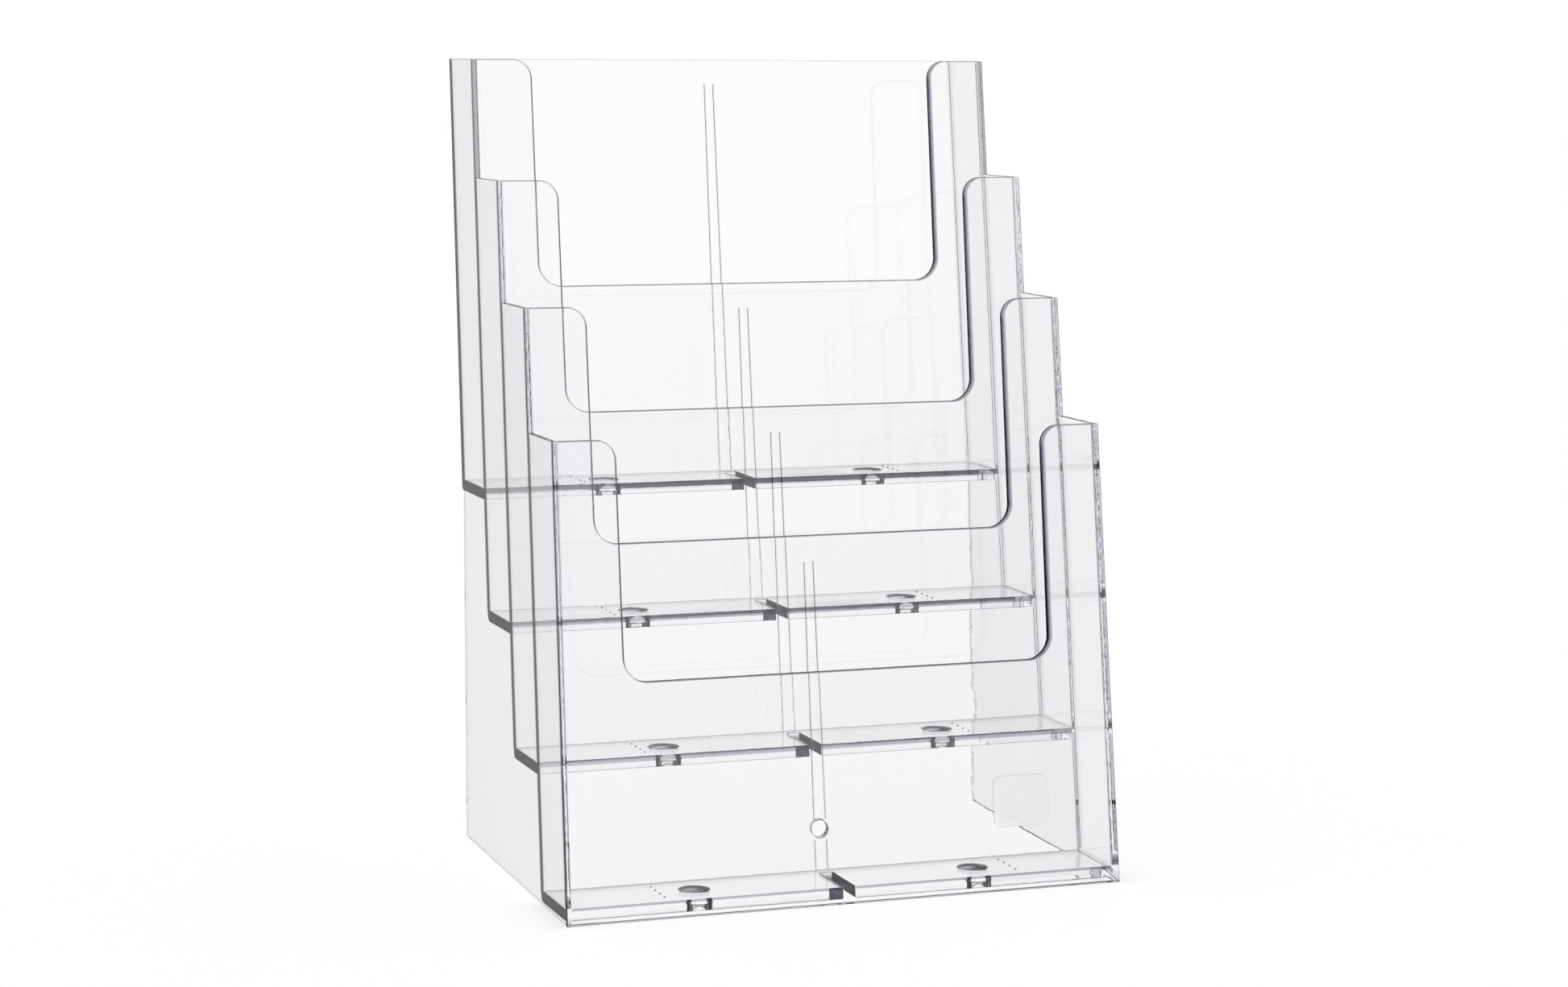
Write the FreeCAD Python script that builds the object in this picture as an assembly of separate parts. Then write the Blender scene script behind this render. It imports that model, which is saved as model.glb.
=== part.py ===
import FreeCAD, Part
import math
import os

# Countertop magazine rack, four stepped pockets moulded in clear polystyrene.
# Millimetres, +Z up, the front looks along -Y, X runs across the pockets.
# The origin is under the middle of the rack's bounding box, on the surface it stands on.
# Wall 0 is the tall back, wall 4 the front; pocket k lies between wall k - 1 and wall k.

# Driving dimensions
TIERS = 4
WIDTH = 236.0              # across the outside of the foot
SIDE_DRAFT = 0.0085        # each side leans inwards by this much per mm of height
LEAN = 0.1566              # the walls lean back by this much per mm of height, 8.9 degrees
POCKET_PITCH = 34.5        # from one wall to the next, front to back
FRONT_TOP = 186.0          # top of the ears of the front wall
TOP_RISE = 48.1            # each wall behind stands this much higher
FLOOR_TOP = 6.2            # top of the lowest floor, at its front
FLOOR_RISE = 49.1          # each floor behind lies this much higher
FLOOR_THICK = 4.7
FLOOR_FALL = 0.02          # the floors fall towards the back by this much per mm
RIM_FALL = 0.0235          # the top edges of the sides fall towards the back by this much per mm
WALL_TOP_THICK = 2.3       # walls, measured along Y
WALL_FOOT_THICK = 3.3
SIDE_THICK = 2.4           # side panels, measured along X
FOOT_DEPTH = 152.5         # length of the side panels along the surface they stand on
REAR_EDGE_LEAN = 0.064     # the back edge of the side panels leans back by this much per mm
FOOT_CORNER_R = 2.0        # round corner at the back of the foot
HEEL_R = 2.9               # round corner where a wall turns into the floor in front of it

EAR_WIDTH = 25.9           # what is left of a wall beside its cut-out, at the top
CUT_DEPTH = 94.0           # from the top of the ears to the bottom of the cut-out
CUT_TOP_R = 8.0
CUT_FOOT_R = 9.5

HOLE_R = 5.5               # two round holes through each floor
HOLE_X = 60.0
SLOT_WIDTH = 5.2           # slot for a divider in each floor, open towards the front wall
SLOT_LENGTH = 26.2
DOT_R = 0.45               # one row of four low raised dots beside each hole
DOT_HEIGHT = 0.4
DOT_PITCH = 5.9
DOT_COUNT = 4
DOT_X = {1: 70.8, 2: 70.8, 3: 70.8, 4: 75.3}

GUIDE_WIDTH = 0.5          # pair of fine ribs up the middle of each wall behind a pocket
GUIDE_HEIGHT = 0.5
GUIDE_START = 10.5         # the ribs begin this far below the wall's edge
GUIDE_TOP_X = 1.95
GUIDE_FOOT_X = 2.6
GUIDE_RAMP = 2.0           # length of the slope at the top end of a rib
GUIDE_ROOT = 0.5           # depth to which a rib is sunk into its wall and its floor

BACK_HOLE_R = 3.5          # small hole through wall 3
BACK_HOLE_RISE = 15.6      # its height above the lowest floor
LABEL_WIDTH = 25.0         # blank clear label on the front of wall 3
LABEL_HEIGHT = 21.0
LABEL_THICK = 0.3
LABEL_CORNER_R = 3.0
LABEL_X = 89.5
LABEL_Z = 27.5

FAR = 400.0                # long enough to pass right through the rack
SPARE = 2.0                # by how much a cutting shape stands proud of what it cuts
NEAR = 0.5                 # an edge this close to a point is the one meant
FLAT = 0.01                # two lengths that differ by less are equal


def wall_front(wall, z):
    """Y of a wall's front face at height z, before the rack is centred."""
    return (TIERS - wall) * POCKET_PITCH + LEAN * z


def wall_top(wall):
    """Top of a wall's ears; the back wall is as high as the wall in front of it."""
    return FRONT_TOP + (TIERS - max(wall, 1)) * TOP_RISE


def floor_top(pocket):
    return FLOOR_TOP + (TIERS - pocket) * FLOOR_RISE


def wall_foot(wall):
    """Bottom of a wall: the underside of the floor in front of it, or the foot."""
    if wall == TIERS:
        return 0.0
    fall = FLOOR_FALL * POCKET_PITCH
    return floor_top(wall + 1) - FLOOR_THICK - fall


def wall_back(wall, z):
    """Y of a wall's back face at height z: the wall thickens towards its foot."""
    down = (wall_top(wall) - z) / (wall_top(wall) - wall_foot(wall))
    thick = WALL_TOP_THICK + (WALL_FOOT_THICK - WALL_TOP_THICK) * down
    return wall_front(wall, z) + thick


def back_top():
    """Height of the back wall's top edge, where the falling rim of pocket 1 ends."""
    return wall_top(1) - RIM_FALL * POCKET_PITCH


DEPTH = wall_back(0, back_top())


def point(x, y, z):
    """A point in the rack's frame from one measured from the front of the foot."""
    return FreeCAD.Vector(x, y - DEPTH / 2, z)


def prism_along_x(outline, x_low, x_high):
    """Solid with an outline of (y, z) points, from x_low to x_high."""
    corners = [point(x_low, y, z) for y, z in outline]
    face = Part.Face(Part.makePolygon(corners + corners[:1]))
    return face.extrude(FreeCAD.Vector(x_high - x_low, 0, 0))


def prism_along_y(outline):
    """Solid with an outline of (x, z) points, right through the rack."""
    corners = [point(x, -FAR / 4, z) for x, z in outline]
    face = Part.Face(Part.makePolygon(corners + corners[:1]))
    return face.extrude(FreeCAD.Vector(0, FAR, 0))


def half_width(z, inset):
    """Half of the rack's width at height z, less inset."""
    return WIDTH / 2 - SIDE_DRAFT * z - inset


def between_sides(z_low, z_high):
    """The space between the two side panels, between two heights."""
    low = half_width(z_low, SIDE_THICK)
    high = half_width(z_high, SIDE_THICK)
    return prism_along_y([(-low, z_low), (low, z_low), (high, z_high), (-high, z_high)])


def edge_near(shape, y, z):
    """Edges along X of a shape that pass close to a point (y, z)."""
    found = []
    for edge in shape.Edges:
        box = edge.BoundBox
        if box.YLength < FLAT and box.ZLength < FLAT < box.XLength:
            if math.hypot(box.YMin + DEPTH / 2 - y, box.ZMin - z) < NEAR:
                found.append(edge)
    return found


def cut_out(wall):
    """The wide U-shaped opening of a wall, with flared round corners at its top."""
    top = wall_top(wall)
    half = half_width(top, EAR_WIDTH)
    foot = top - CUT_DEPTH
    block = prism_along_y([(-half, foot), (half, foot), (half, top + SPARE), (-half, top + SPARE)])
    lower_edges = []
    for edge in block.Edges:
        box = edge.BoundBox
        if box.YLength > FAR / 2 and abs(box.ZMin - foot) < FLAT:
            lower_edges.append(edge)
    block = block.makeFillet(CUT_FOOT_R, lower_edges)
    for side in (-1, 1):
        flare = prism_along_y([
            (side * half, top - CUT_TOP_R), (side * (half + CUT_TOP_R), top - CUT_TOP_R),
            (side * (half + CUT_TOP_R), top + SPARE), (side * half, top + SPARE),
        ])
        centre = point(side * (half + CUT_TOP_R), -FAR / 4, top - CUT_TOP_R)
        bar = Part.makeCylinder(CUT_TOP_R, FAR, centre, FreeCAD.Vector(0, 1, 0))
        block = block.fuse(flare.cut(bar))
    return block.removeSplitter()


def guide_ribs(wall):
    """The pair of fine ribs that hold the edge of a divider against a wall."""
    edge = wall_top(wall) if wall == 0 else wall_top(wall) - CUT_DEPTH
    high = edge - GUIDE_START
    low = floor_top(wall + 1) - FLOOR_FALL * POCKET_PITCH - GUIDE_ROOT
    ribs = []
    for side in (-1, 1):
        outline = []
        for x, z in ((GUIDE_FOOT_X, low), (GUIDE_TOP_X, high)):
            outline.append((side * x - GUIDE_WIDTH / 2, z))
            outline.append((side * x + GUIDE_WIDTH / 2, z))
        outline = [outline[0], outline[1], outline[3], outline[2]]
        ramp = high - GUIDE_RAMP
        skin = [(wall_front(wall, low) - GUIDE_HEIGHT, low), (wall_front(wall, low) + GUIDE_ROOT, low),
                (wall_front(wall, high) + GUIDE_ROOT, high), (wall_front(wall, high), high),
                (wall_front(wall, ramp) - GUIDE_HEIGHT, ramp)]
        ribs.append(prism_along_y(outline).common(prism_along_x(skin, -WIDTH / 2, WIDTH / 2)))
    return ribs


def wall_panel(wall):
    """One leaning wall between the side panels, with its heel, cut-out and guide ribs."""
    low = wall_foot(wall)
    high = back_top() if wall == 0 else wall_top(wall)
    outline = [(wall_front(wall, low), low), (wall_back(wall, low), low),
               (wall_back(wall, high), high), (wall_front(wall, high), high)]
    panel = prism_along_x(outline, -WIDTH / 2, WIDTH / 2).common(between_sides(low, high))
    if wall < TIERS:
        panel = panel.makeFillet(HEEL_R, edge_near(panel, wall_back(wall, low), low))
        for rib in guide_ribs(wall):
            panel = panel.fuse(rib)
        # The floor in front of the wall is a separate piece, so the ribs stop on top of it.
        panel = panel.cut(floor_block(wall + 1))
    if wall > 0:
        panel = panel.cut(cut_out(wall))
    if wall == TIERS - 1:
        z = FLOOR_TOP + BACK_HOLE_RISE
        axis = FreeCAD.Vector(0, 1, -LEAN)
        start = point(0, wall_front(wall, z), z) - axis * WALL_FOOT_THICK
        panel = panel.cut(Part.makeCylinder(BACK_HOLE_R, 3 * WALL_FOOT_THICK, start, axis))
    return panel.removeSplitter()


def floor_line(pocket, y, drop=0.0):
    """Height of a floor's top at y, or of a face that lies drop below it."""
    front = wall_back(pocket, floor_top(pocket))
    return floor_top(pocket) - FLOOR_FALL * (y - front) - drop


def floor_block(pocket):
    """A floor before its holes: it fills the pocket from wall to wall and side to side."""
    outline = []
    for drop in (0.0, FLOOR_THICK):
        z_near = floor_top(pocket) - drop
        front = wall_back(pocket, z_near)
        outline.append((front, floor_line(pocket, front, drop)))
        z_far = z_near - FLOOR_FALL * POCKET_PITCH
        rear = wall_front(pocket - 1, z_far)
        outline.append((rear, floor_line(pocket, rear, drop)))
    outline = [outline[0], outline[1], outline[3], outline[2]]
    block = prism_along_x(outline, -WIDTH / 2, WIDTH / 2)
    return block.common(between_sides(outline[3][1] - SPARE, outline[0][1] + SPARE))


def floor_panel(pocket):
    """One pocket floor with its two holes, the divider slot and the rows of dots."""
    panel = floor_block(pocket)
    top = floor_top(pocket)
    front = wall_back(pocket, top)
    middle = (front + wall_front(pocket - 1, top)) / 2
    tools = []
    for side in (-1, 1):
        start = point(side * HOLE_X, middle, top - 2 * FLOOR_THICK)
        tools.append(Part.makeCylinder(HOLE_R, 3 * FLOOR_THICK, start))
        for i in range(DOT_COUNT):
            y = middle + (i - (DOT_COUNT - 1) / 2) * DOT_PITCH
            root = point(side * DOT_X[pocket], y, floor_line(pocket, y, DOT_HEIGHT))
            panel = panel.fuse(Part.makeCylinder(DOT_R, 2 * DOT_HEIGHT, root))
    slot = Part.makeBox(SLOT_WIDTH, SLOT_LENGTH + SPARE, 3 * FLOOR_THICK,
                        point(-SLOT_WIDTH / 2, front - SPARE, top - 2 * FLOOR_THICK))
    tools.append(slot)
    return panel.cut(tools)


def side_outline():
    """Profile of a side panel as (y, z) points: four steps in front, the leaning back."""
    outline = [(0.0, 0.0)]
    for wall in range(TIERS, 0, -1):
        top = wall_top(wall)
        outline.append((wall_front(wall, top), top))
        if wall > 1:
            # The rim falls towards the wall behind and stops at that wall's front face.
            z = top - RIM_FALL * POCKET_PITCH
            outline.append((wall_front(wall - 1, z), z))
    outline.append((wall_back(0, back_top()), back_top()))
    heel_z = wall_foot(0)
    outline.append((wall_back(0, heel_z), heel_z))
    outline.append((FOOT_DEPTH + REAR_EDGE_LEAN * heel_z, heel_z))
    outline.append((FOOT_DEPTH, 0.0))
    return outline


def side_panel(side):
    """One flat side panel with its stepped front edge; side is -1 left, 1 right."""
    outline = side_outline()
    block = prism_along_x(outline, -WIDTH / 2, WIDTH / 2)
    heel, foot = outline[-3], outline[-1]
    block = block.makeFillet(HEEL_R, edge_near(block, *heel))
    block = block.makeFillet(FOOT_CORNER_R, edge_near(block, *foot))
    low, high = -SPARE, wall_top(1) + SPARE
    slab = prism_along_y([
        (side * half_width(low, 0), low), (side * half_width(high, 0), high),
        (side * half_width(high, SIDE_THICK), high), (side * half_width(low, SIDE_THICK), low),
    ])
    return block.common(slab).removeSplitter()


def label():
    """Blank clear label with round corners, on the front of wall 3."""
    x0, x1 = LABEL_X - LABEL_WIDTH / 2, LABEL_X + LABEL_WIDTH / 2
    z0, z1 = LABEL_Z - LABEL_HEIGHT / 2, LABEL_Z + LABEL_HEIGHT / 2
    sheet = prism_along_y([(x0, z0), (x1, z0), (x1, z1), (x0, z1)])
    corners = [e for e in sheet.Edges if e.BoundBox.YLength > FAR / 2]
    sheet = sheet.makeFillet(LABEL_CORNER_R, corners)
    wall = TIERS - 1
    skin = [(wall_front(wall, z0) - LABEL_THICK, z0), (wall_front(wall, z0), z0),
            (wall_front(wall, z1), z1), (wall_front(wall, z1) - LABEL_THICK, z1)]
    return sheet.common(prism_along_x(skin, -WIDTH / 2, WIDTH / 2))


def build():
    """All the pieces by node name."""
    pieces = {"left_side_panel": side_panel(-1), "right_side_panel": side_panel(1)}
    pieces["back_panel"] = wall_panel(0)
    for pocket in range(1, TIERS + 1):
        pieces[f"pocket_{pocket}_front_panel"] = wall_panel(pocket)
        pieces[f"pocket_{pocket}_floor"] = floor_panel(pocket)
    pieces["blank_label"] = label()
    return pieces


os.makedirs("parts", exist_ok=True)
for name, shape in build().items():
    if len(shape.Solids) != 1 or not shape.isValid():
        raise ValueError(f"{name} is not one sound solid")
    print(f"{name}: {shape.Volume / 1000:.2f} cm3")
    shape.Solids[0].exportStep(f"parts/{name}.step")
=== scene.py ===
import math

import bpy
import numpy as np
from mathutils import Matrix, Vector
from mathutils.geometry import delaunay_2d_cdt


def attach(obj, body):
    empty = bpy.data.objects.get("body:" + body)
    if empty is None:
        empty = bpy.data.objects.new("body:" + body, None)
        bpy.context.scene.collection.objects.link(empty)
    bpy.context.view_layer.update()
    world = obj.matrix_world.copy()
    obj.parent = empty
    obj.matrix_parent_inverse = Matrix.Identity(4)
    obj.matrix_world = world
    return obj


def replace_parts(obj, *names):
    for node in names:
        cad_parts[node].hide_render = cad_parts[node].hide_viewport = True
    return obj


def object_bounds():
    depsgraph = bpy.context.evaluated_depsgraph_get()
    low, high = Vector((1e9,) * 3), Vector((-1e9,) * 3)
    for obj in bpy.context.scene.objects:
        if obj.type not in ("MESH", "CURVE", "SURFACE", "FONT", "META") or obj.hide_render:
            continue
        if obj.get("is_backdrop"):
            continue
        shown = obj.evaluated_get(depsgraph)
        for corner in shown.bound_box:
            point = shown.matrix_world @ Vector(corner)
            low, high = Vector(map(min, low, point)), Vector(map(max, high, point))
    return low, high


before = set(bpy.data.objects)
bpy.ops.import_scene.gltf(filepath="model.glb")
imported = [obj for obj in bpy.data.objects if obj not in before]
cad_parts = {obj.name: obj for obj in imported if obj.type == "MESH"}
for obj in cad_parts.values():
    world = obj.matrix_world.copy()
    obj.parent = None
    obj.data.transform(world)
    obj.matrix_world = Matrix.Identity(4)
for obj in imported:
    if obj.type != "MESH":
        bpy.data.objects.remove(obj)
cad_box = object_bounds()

# Looks of the four-pocket magazine rack: one clear plate for each moulded piece.
# Shapes are worked out in millimetres, with y from the front of the foot, and written in metres.

# ---------------------------------------------------------------- sizes of the moulding
TIERS = 4                 # wall 0 is the tall back, wall 4 the front; pocket k is behind wall k
HALF_WIDTH = 118.0        # at the foot
DRAFT = 0.0085            # each side leans inwards by this much per mm of height
LEAN = 0.1566             # the walls lean back by this much per mm of height
PITCH = 34.5              # from one wall to the next
FRONT_TOP = 186.0         # top of the ears of the front wall
TOP_RISE = 48.1           # each wall behind stands this much higher
FLOOR_TOP = 6.2           # top of the lowest floor, at its front
FLOOR_RISE = 49.1         # each floor behind lies this much higher
FLOOR_THICK = 4.7
FLOOR_FALL = 0.02         # the floors fall towards the back by this much per mm
RIM_FALL = 0.0235         # and the top edges of the side panels by this much
WALL_TOP_THICK = 2.3
WALL_FOOT_THICK = 3.3
SIDE_THICK = 2.4
FOOT_DEPTH = 152.5        # length of the side panels where they stand
REAR_EDGE_LEAN = 0.064    # their back edge leans back by this much per mm of height
FOOT_CORNER_R = 2.0       # its round corner at the foot
HEEL_R = 2.9              # round corner where a wall turns into the floor in front of it

EAR_WIDTH = 25.9          # what is left of a wall beside its cut-out, at the top
CUT_DEPTH = 94.0
CUT_TOP_R = 8.0
CUT_FOOT_R = 9.5

HOLE_R = 5.5
HOLE_X = 60.0
SLOT_HALF = 2.6           # half the width of the divider slots
SLOT_LENGTH = 26.2
DOT_R = 0.45
DOT_HEIGHT = 0.4
DOT_PITCH = 5.9
DOT_COUNT = 4
DOT_X = {1: 70.8, 2: 70.8, 3: 70.8, 4: 75.3}

RIB_WIDTH = 0.5
RIB_HEIGHT = 0.5
RIB_START = 10.5          # the ribs begin this far below the wall's edge
RIB_GAP = 0.3             # and end this far above the floor
RIB_TOP_X = 1.95
RIB_FOOT_X = 2.6
RIB_RIM_SHARE = 0.45      # rounding of a rib's edges, as a share of its width

BACK_HOLE_R = 3.5         # small hole through wall 3
BACK_HOLE_Z = 21.8
LABEL_WALL = 3
LABEL_X = 89.5
LABEL_Z = 27.5
LABEL_HALF_WIDTH = 12.5
LABEL_HALF_HEIGHT = 10.5
LABEL_THICK = 0.3
LABEL_R = 3.0

RIM_R = 0.45              # rounding of the walls' free edges
SIDE_RIM_R = 0.35
FOOT_RIM_R = 0.3
SIDE_CORNER_R = 0.5       # rounding of the upright outer corners
CUT_RIMS = (1.8, 0.4)     # roundings of the right-hand side of a cut-out, front and back
FAINT_RIM_R = 0.12        # rounding of the back wall's top edge
STEP_RIM_R = 0.18         # rounding of the side panels' sloping tops
HOLE_TOP_R = 1.2
HOLE_RIM_R = 0.35
SLOT_RIM_R = 0.35
RIM_NEAR = 2.0            # the sloping tops have a corner this near to each wall
LINE_INSET = 0.02         # a floor's lines of painted shade lie this far inside its front joint
FLOOR_TOP_LINES = {1: 2.3, 2: 2.3, 3: 2.1, 4: 1.0}  # width of the line at the top of that joint
FLOOR_FOOT_LINE = 0.3     # and of the thinner one at its foot
FLOOR_LINE_GAP = 0.4      # the lines stop this far from the slot and the sides
SHADE_FROM, SHADE_TO = 0.25, 0.95  # painted shade: a darker strip beside an inner corner, from and to this far from it
SHADE_END = 0.5           # it stops this far short of the corner's ends
SHADE = 0.85              # how dark it is
ARC_STEP = math.radians(6.0)
RIM_STEPS = 5             # flats in a rounding of 90 degrees
DOME_STEPS = 4
RING_COUNT = 48           # corners of a round hole or dot

MM = 0.001
MERGE = 0.001             # corners nearer than this many mm are one
MERGE_SHIFT = 0.1234      # keeps round numbers away from the borders of the merging grid
FILL_TOUCH = 0.0001       # points of an outline nearer than this are one when it is filled in
NEARLY_STRAIGHT = 0.3     # sine of a turn that needs no mitre


def wall_front(wall, z):
    """Y of a wall's front face: its place in the row of walls plus lean times height."""
    return (TIERS - wall) * PITCH + LEAN * z


def wall_top(wall):
    return FRONT_TOP + (TIERS - max(wall, 1)) * TOP_RISE


def floor_top(pocket):
    return FLOOR_TOP + (TIERS - pocket) * FLOOR_RISE


def wall_foot(wall):
    return 0.0 if wall == TIERS else floor_rear(wall + 1, FLOOR_THICK)[1]


def wall_back(wall, z):
    """Y of a wall's back face: the front face plus a thickness that grows evenly downwards."""
    foot = 0.0 if wall == TIERS else floor_top(wall + 1) - FLOOR_THICK - FLOOR_FALL * PITCH
    down = (wall_top(wall) - z) / (wall_top(wall) - foot)
    return wall_front(wall, z) + WALL_TOP_THICK + (WALL_FOOT_THICK - WALL_TOP_THICK) * down


def floor_line(pocket, y, drop=0.0):
    """Height of a floor at y: its top at the front, less its fall and less drop."""
    front = wall_back(pocket, floor_top(pocket))
    return floor_top(pocket) - FLOOR_FALL * (y - front) - drop


def floor_front(pocket, drop):
    """(y, z) where a floor's face at that drop meets the back of the wall in front of it."""
    y = wall_back(pocket, floor_top(pocket) - drop)
    return y, floor_line(pocket, y, drop)


def floor_rear(pocket, drop):
    """(y, z) where a floor's face at that drop meets the front of the wall behind it."""
    start = wall_front(pocket - 1, 0.0)
    z = floor_line(pocket, start, drop) / (1.0 + FLOOR_FALL * LEAN)
    return wall_front(pocket - 1, z), z


BACK_TOP = wall_top(1) - RIM_FALL * PITCH
DEPTH = wall_back(0, BACK_TOP)


def half_inside(z):
    """Half of the clear width between the side panels at height z."""
    return HALF_WIDTH - DRAFT * z - SIDE_THICK


# ---------------------------------------------------------------- outlines
FREE, FUSED, END, LINE = 0, 1, 2, 3  # a free face, and three kinds of face fused to a neighbour; END and LINE carry painted shade
# painted shade: the clear plastic's free edges get a dark colour, standing for the dark that bent light
# shows there
EDGE_ROUND = 0.72         # how dark an edge's painted shade is on its roundings
EDGE_FLAT = 0.2           # and between them: an ordinary edge
CUT_FLAT = 1.0            # the right-hand side of a cut-out
TOP_STEP_FLAT = 0.45      # the front edge of the highest step
SLOT_FLAT = 1.0           # the long sides of a divider slot
SLOT_START_FLAT = 0.1     # and its short end


class Corner:
    """A corner of a plate's outline, and the edge that starts there.

    r rounds the corner in the plane of the plate. rims are the edge's two roundings, towards
    the plate's first and second face. bond picks the material: FREE, FUSED, END or LINE.
    flat is how dark the edge's painted shade is between its roundings. shift moves the corner on the second
    face.
    """

    def __init__(self, a, b, r=0.0, rims=(0.0, 0.0), bond=FREE, flat=EDGE_FLAT, shift=(0.0, 0.0)):
        self.at = np.array([a, b], float)
        self.r, self.rims, self.bond, self.flat = r, np.array(rims, float), bond, flat
        self.shift = np.array(shift, float)


def trace(corners):
    """Points along an outline that keeps the material on its left.

    A rounded corner is an arc: its centre plus or minus r times a unit normal whose angle runs
    evenly from the one edge's normal to the next's. Each point's inset, for either face, is the
    vector that lies one edge's rim inside that edge and the other's inside the other.
    """
    rows = []
    for i, c in enumerate(corners):
        before, after = corners[i - 1], corners[(i + 1) % len(corners)]
        d0 = (c.at - before.at) / np.linalg.norm(c.at - before.at)
        d1 = (after.at - c.at) / np.linalg.norm(after.at - c.at)
        n0, n1 = np.array([d0[1], -d0[0]]), np.array([d1[1], -d1[0]])
        cross = d0[0] * d1[1] - d0[1] * d1[0]
        if c.r > 0:
            turn, way = math.atan2(cross, d0 @ d1), math.copysign(1.0, cross)
            centre = c.at - d0 * c.r * math.tan(abs(turn) / 2) - way * c.r * n0
            count = max(2, math.ceil(abs(turn) / ARC_STEP))
            for t in np.linspace(0, 1, count + 1):
                angle = math.atan2(n0[1], n0[0]) + turn * t
                n = np.array([math.cos(angle), math.sin(angle)])
                rim = before.rims * (1 - t) + c.rims * t
                rows.append((centre + way * c.r * n, c.shift, n, n, -np.outer(rim, n), rim,
                             c.bond if t == 1 else FREE, before.flat * (1 - t) + c.flat * t))
            continue
        if abs(cross) < NEARLY_STRAIGHT:
            rim = np.minimum(before.rims, c.rims)
            inset = -np.outer(rim, n0)
        else:
            rim = np.maximum(before.rims, c.rims)
            inset = (np.outer(c.rims, [n0[1], -n0[0]]) - np.outer(before.rims, [n1[1], -n1[0]]))
            inset = inset / cross
        rows.append((c.at, c.shift, n0, n1, inset, rim, c.bond, c.flat))
    names = ("at", "shift", "n_in", "n_out", "inset", "rim", "bond", "flat")
    return {name: np.array([row[i] for row in rows]) for i, name in enumerate(names)}


def circle(a, b, radius, rims=(0.0, 0.0)):
    """A round hole: the centre plus radius times (cos, -sin) of an even angle, turning clockwise."""
    angle = -np.linspace(0, 2 * np.pi, RING_COUNT, endpoint=False)
    ray = np.stack([np.cos(angle), np.sin(angle)], 1)
    rim = np.tile(np.array(rims, float), (RING_COUNT, 1))
    return {
        "at": np.array([a, b]) + radius * ray, "shift": np.zeros((RING_COUNT, 2)),
        "n_in": -ray, "n_out": -ray, "inset": ray[:, None, :] * rim[:, :, None], "rim": rim,
        "bond": np.full(RING_COUNT, FREE), "flat": np.zeros(RING_COUNT),
    }


def inside(points, loop):
    """Even-odd rule: a point is inside if a ray along +a crosses the loop an odd number of times."""
    x, y = points[:, 0, None], points[:, 1, None]
    a = loop.astype(np.float32).astype(float)  # as exact as the points, which Blender rounds
    b = np.roll(a, -1, axis=0)
    spans = (a[None, :, 1] > y) != (b[None, :, 1] > y)
    rise = np.where(b[:, 1] == a[:, 1], 1.0, b[:, 1] - a[:, 1])
    at = a[None, :, 0] + (y - a[None, :, 1]) / rise * (b[:, 0] - a[:, 0])
    return (np.sum(spans & (at > x), axis=1) % 2).astype(bool)


# ---------------------------------------------------------------- plates
class Shell:
    """Triangles of one piece: corner places, corner normals, edge share and material."""

    def __init__(self):
        self.places, self.normals, self.edge, self.kind = [], [], [], []

    def add(self, places, normals, edge, kind):
        """A block of triangles that all turn the same way; they are turned to face outwards."""
        across = np.cross(places[:, 1] - places[:, 0], places[:, 2] - places[:, 0])
        if np.sum(across * normals.sum(1)) < 0:
            places, normals, edge = places[:, ::-1], normals[:, ::-1], edge[:, ::-1]
        self.places.append(places)
        self.normals.append(normals)
        self.edge.append(edge)
        self.kind.append(kind)

    def add_grid(self, places, normals_start, normals_end, edge, kind):
        """Two triangles for each cell of a grid that closes on itself along its first axis."""
        p, q = places, np.roll(places, -1, axis=0)
        e = np.broadcast_to(edge, places.shape[:2])
        for corners in (((p, 0), (q, 0), (q, 1)), ((p, 0), (q, 1), (p, 1))):
            take = [slice(None, -1) if late == 0 else slice(1, None) for _, late in corners]
            xyz = np.stack([grid[:, t] for (grid, _), t in zip(corners, take)], 2)
            nor = np.stack([(normals_start if grid is p else normals_end)[:, t]
                            for (grid, _), t in zip(corners, take)], 2)
            share = np.stack([e[:, t] for t in take], 2)
            kinds = np.repeat(kind[:, None], xyz.shape[1], 1)
            self.add(xyz.reshape(-1, 3, 3), nor.reshape(-1, 3, 3), share.reshape(-1, 3), kinds.ravel())


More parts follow.
